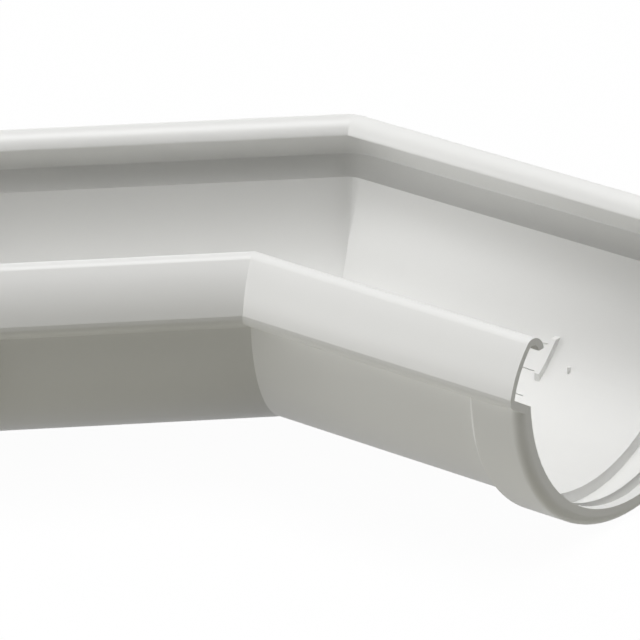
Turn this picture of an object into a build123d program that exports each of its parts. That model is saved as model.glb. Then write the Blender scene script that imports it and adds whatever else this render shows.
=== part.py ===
from build123d import *
from build123d.topology import SkipClean
import os

os.makedirs("parts", exist_ok=True)

# A gutter angle for deep half-round gutter, moulded in one piece of white plastic
# Two equal arms meet in a mitre; each ends in a socket that takes the end of a gutter
# Units are millimetres; the mitre plane is x = 0 and the sockets stand on z = 0

# The bend and the arms, measured along the axis of each from the mitre
BEND = 45.0
ARM_LENGTH = 137.3

# The trough, a half round with its axis level
TROUGH_INNER_R = 58.9
TROUGH_WALL = 2.5
TROUGH_OUTER_R = TROUGH_INNER_R + TROUGH_WALL
SOCKET_STEP = 3.6
SOCKET_OUTER_R = TROUGH_OUTER_R + SOCKET_STEP
TROUGH_Z = SOCKET_OUTER_R

# The sloped ledge on top of each trough wall
LEDGE_SLOPE = 30.4
LEDGE_INNER_DROP = 4.5
LEDGE_THICK = 2.9
LEDGE_REACH = 8.6

# The upper wall stands on a short upright land, bows inward and closes in a rolled lip
# The land's ends are measured up from the trough's axis
# Each point above it is measured in and up from the one before it
UPPER_WALL = 2.2
OUTER_U = TROUGH_INNER_R + LEDGE_REACH + UPPER_WALL
LAND_FOOT_UP, LAND_TOP_UP = 0.45, 1.5
BOW_START = 12.3
SHOULDER_IN, SHOULDER_UP = 8.7, 16.3
CROWN_IN, CROWN_UP = 2.7, 1.1
NOSE_IN, NOSE_DOWN = 6.1, 4.9
NOSE_TIP = 0.45
NOSE_THICK = 2.65

# The socket at the end of each arm, measured back from its mouth
SOCKET_LENGTH = 19.5
SHOULDER_ROUND = 0.5
END_LAND = 0.1
END_ROUND = SOCKET_STEP - END_LAND
SEAL_GROOVE_BACK, SEAL_GROOVE_WIDE, SEAL_GROOVE_DEEP = 18.3, 10.0, 4.5
FRONT_GROOVE_BACK, FRONT_GROOVE_WIDE, FRONT_GROOVE_DEEP = 7.5, 4.2, 4.0

# The far wall turns the corner on a small radius, measured at the recess
CORNER_R = 15.0

# The gutter's stop on the far side of each arm, and the small peg beside it
# The stop's ends and the peg follow the upright pull of the mould
STOP_BACK, STOP_WIDE = 65.8, 1.85
STOP_PROUD = 2.2
STOP_U, STOP_DROP = 35.1, 35.1
PEG_BACK = 55.2
PEG_U = 40.2
PEG_R = 0.65
PEG_PROUD = 1.9


def turned(angle):
    """A unit direction in the profile's plane, measured from the u axis."""
    return Vector(1, 0).rotate(Axis.Z, angle)


# Half of the profile, drawn as u across the arm and z up; the other half mirrors it
axis_point = Vector(0, TROUGH_Z)
slope = turned(LEDGE_SLOPE)
down = turned(LEDGE_SLOPE - 90)
ledge_drop = LEDGE_INNER_DROP
ledge_inner = Vector((TROUGH_INNER_R**2 - ledge_drop**2) ** 0.5, TROUGH_Z - ledge_drop)
ledge_run = (OUTER_U - UPPER_WALL - ledge_inner.X) / slope.X
recess = ledge_inner + slope * ledge_run
under_from = ledge_inner + down * LEDGE_THICK
corner_run = (OUTER_U - under_from.X) / slope.X
lower_corner = under_from + slope * corner_run



def on_trough(radius):
    """The point where the line of the ledge's underside meets a face of the trough."""
    to_axis = under_from - axis_point
    along = to_axis.dot(slope)
    reach = (along**2 - to_axis.length**2 + radius**2) ** 0.5
    return under_from + slope * (reach - along)


under_start = on_trough(TROUGH_OUTER_R)
under_inner = on_trough(TROUGH_INNER_R)

land_foot = Vector(OUTER_U, TROUGH_Z + LAND_FOOT_UP)
land_top = Vector(OUTER_U, TROUGH_Z + LAND_TOP_UP)
bow_dir = turned(90 + BOW_START)
shoulder = land_top + Vector(-SHOULDER_IN, SHOULDER_UP)
crown_mid = shoulder + Vector(-CROWN_IN, CROWN_UP)
nose_out = crown_mid - Vector(NOSE_IN, NOSE_DOWN)
nose_low = nose_out - Vector(0, NOSE_TIP)
nose_back = nose_low + Vector(NOSE_THICK, 0)

# The outer face from the lower corner up over the crown to the nose
corner_in = lower_corner - slope * (land_foot.Y - lower_corner.Y)
under = Line(under_start, corner_in)
corner = TangentArc(corner_in, land_foot, tangent=slope)
land = Line(land_foot, land_top)
bow = TangentArc(land_top, shoulder, tangent=bow_dir)
crown = TangentArc(shoulder, crown_mid, tangent=bow % 1)
nose_arc = TangentArc(crown_mid, nose_out, tangent=crown % 1)
nose_side = Line(nose_out, nose_low)
nose_tip = Line(nose_low, nose_back)


def inside(edge, place):
    """The point one wall thickness inside the outer face."""
    heading = edge % place
    return edge @ place + Vector(-heading.Y, heading.X) * UPPER_WALL


# The inner face from the nose back down to the recess and over the ledge
in_top = inside(nose_arc, 0)
in_shoulder = inside(crown, 0)
in_bow = inside(bow, 0)
lip_line = TangentArc(in_top, nose_back, tangent=crown % 1)
lip_top = TangentArc(in_shoulder, in_top, tangent=bow % 1)
lip_wall = TangentArc(in_bow, in_shoulder, tangent=bow_dir)
recess_arc = TangentArc(in_bow, recess, tangent=-bow_dir)
ledge_top = Line(recess, ledge_inner)

# The trough's two faces, from the ledge round to the middle of the bottom
bottom_in = Vector(0, TROUGH_Z - TROUGH_INNER_R)
bottom_out = Vector(0, TROUGH_Z - TROUGH_OUTER_R)
ledge_face = RadiusArc(ledge_inner, under_inner, TROUGH_INNER_R)
inner_half = RadiusArc(under_inner, bottom_in, TROUGH_INNER_R)
outer_half = RadiusArc(bottom_out, under_start, -TROUGH_OUTER_R)
middle = Line(bottom_in, bottom_out)
half = make_face([under, corner, land, bow, crown,
                  nose_arc, nose_side, nose_tip, lip_line, lip_top, lip_wall,
                  recess_arc, ledge_top, ledge_face, inner_half, middle, outer_half])

# One arm along +X with its profile across it, running past the mitre
past_mitre = OUTER_U
start = Plane.YZ.offset(-past_mitre)
far_half = extrude(start * half, amount=past_mitre + ARM_LENGTH)
near_half = mirror(far_half, about=Plane.XZ)
trough_axis = Axis((0, 0, TROUGH_Z), (1, 0, 0))


def ring(s_from, s_to, r_in, r_out):
    """A ring round the trough's axis."""
    band = Polyline((s_from, TROUGH_Z - r_in), (s_to, TROUGH_Z - r_in),
                    (s_to, TROUGH_Z - r_out), (s_from, TROUGH_Z - r_out), close=True)
    return revolve(Plane.XZ * make_face(band), axis=trough_axis)


# The space under the ledges, which the socket and its grooves keep to
space_side = 2 * OUTER_U
side_run = (space_side - under_from.X) / slope.X
under_side = under_from + slope * side_run
under_mid = under_from - slope * ledge_run
space_outline = Polyline((-space_side, -space_side), (space_side, -space_side),
                         under_side, under_mid, (-under_mid.X, under_mid.Y),
                         (-under_side.X, under_side.Y), close=True)
space = extrude(Plane.YZ * make_face(space_outline), amount=2 * ARM_LENGTH)

# The socket stands proud of the arm, with a rounded end and a square shoulder
socket = ring(ARM_LENGTH - SOCKET_LENGTH, ARM_LENGTH, TROUGH_INNER_R, SOCKET_OUTER_R)
outer_edges = socket.edges().filter_by(GeomType.CIRCLE)
outer_edges = outer_edges.filter_by(lambda e: abs(e.radius - SOCKET_OUTER_R) < 0.01)
outer_edges = outer_edges.sort_by(Axis.X)
socket = fillet(outer_edges[-1], END_ROUND)
outer_edges = socket.edges().filter_by(GeomType.CIRCLE)
outer_edges = outer_edges.filter_by(lambda e: abs(e.radius - SOCKET_OUTER_R) < 0.01)
outer_edges = outer_edges.sort_by(Axis.X)
socket = fillet(outer_edges[0], SHOULDER_ROUND)
socket = socket & space

# The grooves inside the socket, the wide one for the seal
grooves = []
for back, wide, deep in ((SEAL_GROOVE_BACK, SEAL_GROOVE_WIDE, SEAL_GROOVE_DEEP),
                         (FRONT_GROOVE_BACK, FRONT_GROOVE_WIDE, FRONT_GROOVE_DEEP)):
    groove = ring(ARM_LENGTH - back, ARM_LENGTH - back + wide,
                  TROUGH_INNER_R - deep, TROUGH_INNER_R + deep)
    grooves.append(groove & space)

# The stop and its peg, rooted in the wall of the trough
stop_s = ARM_LENGTH - STOP_BACK
stop_ring = ring(stop_s, stop_s + STOP_WIDE, TROUGH_INNER_R - STOP_PROUD,
                 TROUGH_INNER_R + TROUGH_WALL / 2)
stop_room = Pos(stop_s, STOP_U, TROUGH_Z - STOP_DROP)
stop_room = stop_room * Box(4 * STOP_WIDE, OUTER_U, OUTER_U,
                            align=(Align.CENTER, Align.MIN, Align.MAX))
stop = stop_ring & stop_room
peg_foot = TROUGH_Z - (TROUGH_INNER_R**2 - PEG_U**2) ** 0.5
peg = Pos(ARM_LENGTH - PEG_BACK, PEG_U, peg_foot) * Cylinder(PEG_R, 2 * PEG_PROUD)

# The far wall beyond the corner's axis is turned about it instead of mitred
corner_u = OUTER_U - UPPER_WALL - CORNER_R
mitre_line = Vector(0, 1).rotate(Axis.Z, BEND / 2)
corner_s = corner_u * mitre_line.X / mitre_line.Y
across = 4 * ARM_LENGTH
sharp_corner = Pos(corner_s - across / 2, corner_u + across / 2, 0) * Box(across, across, across)
inner_part = Pos(corner_u - across / 2, 0) * Rectangle(across, across)
turned_part = Plane.YZ.offset(corner_s) * (half - inner_part)
corner_axis = Axis((corner_s, corner_u, 0), (0, 0, 1))
far_corner = revolve(turned_part, axis=corner_axis, revolution_arc=BEND)

# One arm put together, turned and cut to the mitre, then both arms joined
# The faces stay split along the ledges, so that each one is a plain strip
left_side = Pos(-across / 2, 0, 0) * Box(across, across, across)
with SkipClean():
    arm = far_half.fuse(near_half).fuse(socket)
    arm = arm.cut(*grooves).fuse(stop, peg)
    arm = arm.cut(sharp_corner).fuse(far_corner)
    right = (Rot(0, 0, -BEND / 2) * arm).cut(left_side)
    angle = right.fuse(mirror(right, about=Plane.YZ))

# The origin is midway between the near and far reaches of the whole part
reach = angle.bounding_box()
gutter_angle = Pos(0, -(reach.min.Y + reach.max.Y) / 2, 0) * angle
gutter_angle.label = "gutter_angle"
gutter_angle.color = Color(0.9, 0.9, 0.88)

box = gutter_angle.bounding_box()
print("box", box.min, box.max, "solids", len(gutter_angle.solids()))
print("volume", round(gutter_angle.volume))
export_step(gutter_angle, "parts/gutter_angle.step")
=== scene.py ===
import bmesh
import bpy
import math
from mathutils import Matrix, Vector


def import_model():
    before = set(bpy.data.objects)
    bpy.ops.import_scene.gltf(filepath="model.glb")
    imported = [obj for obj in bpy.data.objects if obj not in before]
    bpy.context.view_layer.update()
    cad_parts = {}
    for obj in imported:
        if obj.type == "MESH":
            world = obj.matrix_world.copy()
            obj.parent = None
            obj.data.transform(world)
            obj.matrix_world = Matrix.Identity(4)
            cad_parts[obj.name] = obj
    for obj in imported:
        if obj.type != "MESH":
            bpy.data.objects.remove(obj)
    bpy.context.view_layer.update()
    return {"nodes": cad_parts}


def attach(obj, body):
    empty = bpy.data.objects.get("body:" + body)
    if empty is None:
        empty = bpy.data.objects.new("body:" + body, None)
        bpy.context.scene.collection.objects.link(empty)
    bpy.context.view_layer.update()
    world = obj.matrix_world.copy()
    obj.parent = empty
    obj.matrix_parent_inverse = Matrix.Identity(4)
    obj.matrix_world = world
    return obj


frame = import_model()
node = frame["nodes"]["gutter_angle"]
scene = bpy.context.scene

# The part, in metres: each arm's turn from the X axis, where the mitre's middle lies in Y,
# and the trough's axis and inner radius
BEND_HALF = math.radians(22.5)
MITRE_Y = 0.021456
TROUGH_Z = 0.065
TROUGH_R = 0.0589

# The camera's direction, and its place measured from a point in the mitre's plane
CAMERA_AZIMUTH = math.radians(15.353)
CAMERA_ELEVATION = math.radians(23.83)
CAMERA_DISTANCE = 1.98637
CAMERA_RIGHT = 0.005317
CAMERA_UP = -0.022907
CAMERA_ORIGIN = Vector((0.0, MITRE_Y, 0.05795))
LENS = 329.902
SENSOR = 36.0

# The plastic, with a grain of a few millimetres and a slower drift over each arm
PLASTIC_COLOUR = (0.81, 0.81, 0.795, 1.0)
PLASTIC_DRIFT = (0.80, 0.799, 0.782, 1.0)
GLOSS_FROM, GLOSS_TO = 0.35, 0.43
GRAIN_SCALE, GRAIN_DETAIL, GRAIN_HEIGHT = 420.0, 3.0, 0.000012
DRIFT_SCALE, DRIFT_DETAIL = 14.0, 2.0

# The floor, white to the eye, with a share of it left to show the shadow
WHITE = (1.0, 1.0, 1.0, 1.0)
FLOOR_COLOUR = (0.42, 0.413, 0.357, 1.0)
FLOOR_SHARE = 0.03
FLOOR_SIZE = 12.0

# The raised depth marks beside each stop: angle round the trough from its foot in degrees,
# and the distances from the mitre at which they start and end
MARKS = ((50.1, 0.0640, 0.0697), (39.95, 0.0640, 0.0696), (29.9, 0.0640, 0.0710))
MARK_WIDE = 0.0004
MARK_PROUD = 0.00045
MARK_ROOT = 0.0003
# The width of a mark's top as a share of its width at the root
MARK_TOP = 0.6

# The bevelled shoulder over the back edge of each socket: where it starts and ends from
# the mitre, and the radii at its foot and top
SHOULDER_START, SHOULDER_END = 0.1166, 0.1189
SHOULDER_FOOT, SHOULDER_TOP = 0.061, 0.06496
# The bevel is wide beside the ledges and narrows towards the foot of the trough; its slope
# is its height over its width along the arm
BEVEL_SIDE, BEVEL_FOOT = 0.0023, 0.0005
BEVEL_FADE = 18
BEVEL_SLOPE = 0.68
# It ends inside the ledges, this many degrees from the trough's foot on either side
SHOULDER_TURN = 86.5
SHOULDER_STEPS = 96

# Edges of the pieces that turn by more than this stay sharp
SHARP_ANGLE = math.radians(25.0)

# Each lamp: name, azimuth and elevation in degrees, watts
LAMPS = (
    ("overhead", 0.0, 90.0, 31.4),
    ("front_left", -60.0, 8.0, 21.6),
    ("back_left", -120.0, 8.0, 24.0),
    ("left", -90.0, 8.0, 5.0),
    ("high_front_right", 60.0, 62.0, 9.6),
    ("high_right", 90.0, 62.0, 3.0),
)
LAMP_DISTANCE = 2.2
LAMP_SIDE = 1.2

# The world's strength where it lights the part, and where it is seen
WORLD_LEVEL, WORLD_SEEN = 0.0, 1.0


def node_tree(owner):
    """The owner's empty node tree."""
    owner.use_nodes = True
    owner.node_tree.nodes.clear()
    return owner.node_tree.nodes, owner.node_tree.links


def noise(nodes, links, scale, detail):
    """A soft pattern fixed to the part."""
    place = nodes.new("ShaderNodeTexCoord")
    pattern = nodes.new("ShaderNodeTexNoise")
    pattern.inputs["Scale"].default_value = scale
    pattern.inputs["Detail"].default_value = detail
    links.new(place.outputs["Object"], pattern.inputs["Vector"])
    return pattern.outputs["Fac"]


def plastic():
    """White moulded plastic with a satin sheen and a faint mould grain."""
    material = bpy.data.materials.new("white_plastic")
    nodes, links = node_tree(material)
    surface = nodes.new("ShaderNodeBsdfPrincipled")
    drift = noise(nodes, links, DRIFT_SCALE, DRIFT_DETAIL)
    colour = nodes.new("ShaderNodeValToRGB")
    colour.color_ramp.elements[0].color = PLASTIC_DRIFT
    colour.color_ramp.elements[1].color = PLASTIC_COLOUR
    links.new(drift, colour.inputs["Fac"])
    links.new(colour.outputs["Color"], surface.inputs["Base Color"])
    grain = noise(nodes, links, GRAIN_SCALE, GRAIN_DETAIL)
    gloss = nodes.new("ShaderNodeMapRange")
    gloss.inputs["To Min"].default_value = GLOSS_FROM
    gloss.inputs["To Max"].default_value = GLOSS_TO
    links.new(grain, gloss.inputs["Value"])
    links.new(gloss.outputs["Result"], surface.inputs["Roughness"])
    bump = nodes.new("ShaderNodeBump")
    bump.inputs["Distance"].default_value = GRAIN_HEIGHT
    links.new(grain, bump.inputs["Height"])
    links.new(bump.outputs["Normal"], surface.inputs["Normal"])
    output = nodes.new("ShaderNodeOutputMaterial")
    links.new(surface.outputs["BSDF"], output.inputs["Surface"])
    return material


def arm_point(side, along, radius, angle):
    """A point in the trough of one arm; the angle runs from its foot to its far side."""
    across = radius * math.sin(angle)
    height = TROUGH_Z - radius * math.cos(angle)
    x = along * math.cos(BEND_HALF) + across * math.sin(BEND_HALF)
    y = across * math.cos(BEND_HALF) - along * math.sin(BEND_HALF) + MITRE_Y
    return Vector((side * x, y, height))


def swept(shape, rings):
    """A closed solid through a row of outlines that match point by point."""
    rows = [[shape.verts.new(point) for point in ring] for ring in rings]
    shape.faces.new(rows[0])
    shape.faces.new(rows[-1])
    for row, after in zip(rows, rows[1:]):
        for i in range(len(row)):
            j = (i + 1) % len(row)
            shape.faces.new((row[i], row[j], after[j], after[i]))


def piece(name, shape, material):
    """A finished piece of the moulding, which rides with it."""
    bmesh.ops.recalc_face_normals(shape, faces=shape.faces)
    for face in shape.faces:
        face.smooth = True
    mesh = bpy.data.meshes.new(name)
    shape.to_mesh(mesh)
    shape.free()
    mesh.set_sharp_from_angle(angle=SHARP_ANGLE)
    thing = bpy.data.objects.new(name, mesh)
    scene.collection.objects.link(thing)
    mesh.materials.append(material)
    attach(thing, "root")


def depth_marks(material):
    """Fine raised lines along the trough, which show how far the gutter goes in."""
    shape = bmesh.new()
    half = 0.5 * MARK_WIDE / TROUGH_R
    root, top = TROUGH_R + MARK_ROOT, TROUGH_R - MARK_PROUD
    corners = ((root, -half), (top, -MARK_TOP * half), (top, MARK_TOP * half), (root, half))
    for side in (1, -1):
        for angle, start, end in MARKS:
            middle = math.radians(angle)
            swept(shape, [[arm_point(side, along, radius, middle + turn) for radius, turn in corners]
                          for along in (start, end)])
    piece("depth_marks", shape, material)


def shoulder_outline(turn):
    """The shoulder cut along the arm, as distances from the mitre and radii."""
    run = BEVEL_FOOT + (BEVEL_SIDE - BEVEL_FOOT) * abs(math.sin(turn)) ** BEVEL_FADE
    return ((SHOULDER_START, SHOULDER_FOOT), (SHOULDER_START, SHOULDER_TOP - BEVEL_SLOPE * run),
            (SHOULDER_START + run, SHOULDER_TOP), (SHOULDER_END, SHOULDER_TOP),
            (SHOULDER_END, SHOULDER_FOOT))


def socket_shoulders(material):
    """The bevelled shoulder where each socket rises from its arm."""
    shape = bmesh.new()
    turns = [math.radians(SHOULDER_TURN * (2.0 * i / SHOULDER_STEPS - 1.0))
             for i in range(SHOULDER_STEPS + 1)]
    for side in (1, -1):
        swept(shape, [[arm_point(side, along, radius, turn) for along, radius in shoulder_outline(turn)]
                      for turn in turns])
    piece("socket_shoulders", shape, material)


def seen_directly(nodes, links):
    """One for the camera's rays and for what shines or shows them on."""
    path = nodes.new("ShaderNodeLightPath")
    total = path.outputs["Is Camera Ray"]
    for name in ("Is Glossy Ray", "Is Transmission Ray"):
        add = nodes.new("ShaderNodeMath")
        add.operation = "MAXIMUM"
        links.new(total, add.inputs[0])
        links.new(path.outputs[name], add.inputs[1])
        total = add.outputs[0]
    return total


def floor():
    """A level white floor that keeps a faint shadow."""
    bpy.ops.mesh.primitive_plane_add(size=FLOOR_SIZE, location=(0.0, 0.0, 0.0))
    ground = bpy.context.object
    ground.name = "floor"
    material = bpy.data.materials.new("floor")
    nodes, links = node_tree(material)
    matt = nodes.new("ShaderNodeBsdfDiffuse")
    matt.inputs["Color"].default_value = FLOOR_COLOUR
    bright = nodes.new("ShaderNodeEmission")
    bright.inputs["Color"].default_value = WHITE
    shaded = nodes.new("ShaderNodeBsdfDiffuse")
    shaded.inputs["Color"].default_value = WHITE
    shown = nodes.new("ShaderNodeMixShader")
    shown.inputs[0].default_value = FLOOR_SHARE
    links.new(bright.outputs[0], shown.inputs[1])
    links.new(shaded.outputs[0], shown.inputs[2])
    mix = nodes.new("ShaderNodeMixShader")
    links.new(seen_directly(nodes, links), mix.inputs[0])
    links.new(matt.outputs[0], mix.inputs[1])
    links.new(shown.outputs[0], mix.inputs[2])
    output = nodes.new("ShaderNodeOutputMaterial")
    links.new(mix.outputs[0], output.inputs["Surface"])
    ground.data.materials.append(material)


def world():
    """A plain even sky, white where it is looked at."""
    sky = bpy.data.worlds.new("sky")
    scene.world = sky
    nodes, links = node_tree(sky)
    background = nodes.new("ShaderNodeBackground")
    background.inputs["Color"].default_value = WHITE
    level = nodes.new("ShaderNodeMapRange")
    level.inputs["To Min"].default_value = WORLD_LEVEL
    level.inputs["To Max"].default_value = WORLD_SEEN
    links.new(seen_directly(nodes, links), level.inputs["Value"])
    links.new(level.outputs["Result"], background.inputs["Strength"])
    output = nodes.new("ShaderNodeOutputWorld")
    links.new(background.outputs[0], output.inputs["Surface"])


def direction(azimuth, elevation):
    """A unit direction; azimuth 0 is towards -Y, and it grows towards +X."""
    return Vector((math.sin(azimuth) * math.cos(elevation),
                   -math.cos(azimuth) * math.cos(elevation), math.sin(elevation)))


def lamps():
    """The soft lamps round the part."""
    for name, azimuth, elevation, watts in LAMPS:
        data = bpy.data.lights.new(name, "AREA")
        data.shape = "SQUARE"
        data.size = LAMP_SIDE
        data.energy = watts
        lamp = bpy.data.objects.new(name, data)
        scene.collection.objects.link(lamp)
        towards = direction(math.radians(azimuth), math.radians(elevation))
        lamp.location = towards * LAMP_DISTANCE
        lamp.rotation_euler = towards.to_track_quat("Z", "Y").to_euler()


def camera():
    """The photograph's view."""
    data = bpy.data.cameras.new("camera")
    data.lens = LENS
    data.sensor_width = SENSOR
    eye = bpy.data.objects.new("camera", data)
    scene.collection.objects.link(eye)
    back = direction(CAMERA_AZIMUTH, CAMERA_ELEVATION)
    right = Vector((math.cos(CAMERA_AZIMUTH), math.sin(CAMERA_AZIMUTH), 0.0))
    up = back.cross(right)
    place = CAMERA_ORIGIN + back * CAMERA_DISTANCE + right * CAMERA_RIGHT + up * CAMERA_UP
    turn = Matrix((right, up, back)).transposed().to_4x4()
    eye.matrix_world = Matrix.Translation(place) @ turn
    scene.camera = eye


white_plastic = plastic()
node.data.materials.clear()
node.data.materials.append(white_plastic)
depth_marks(white_plastic)
socket_shoulders(white_plastic)
floor()
world()
lamps()
camera()
scene.view_settings.view_transform = "Standard"
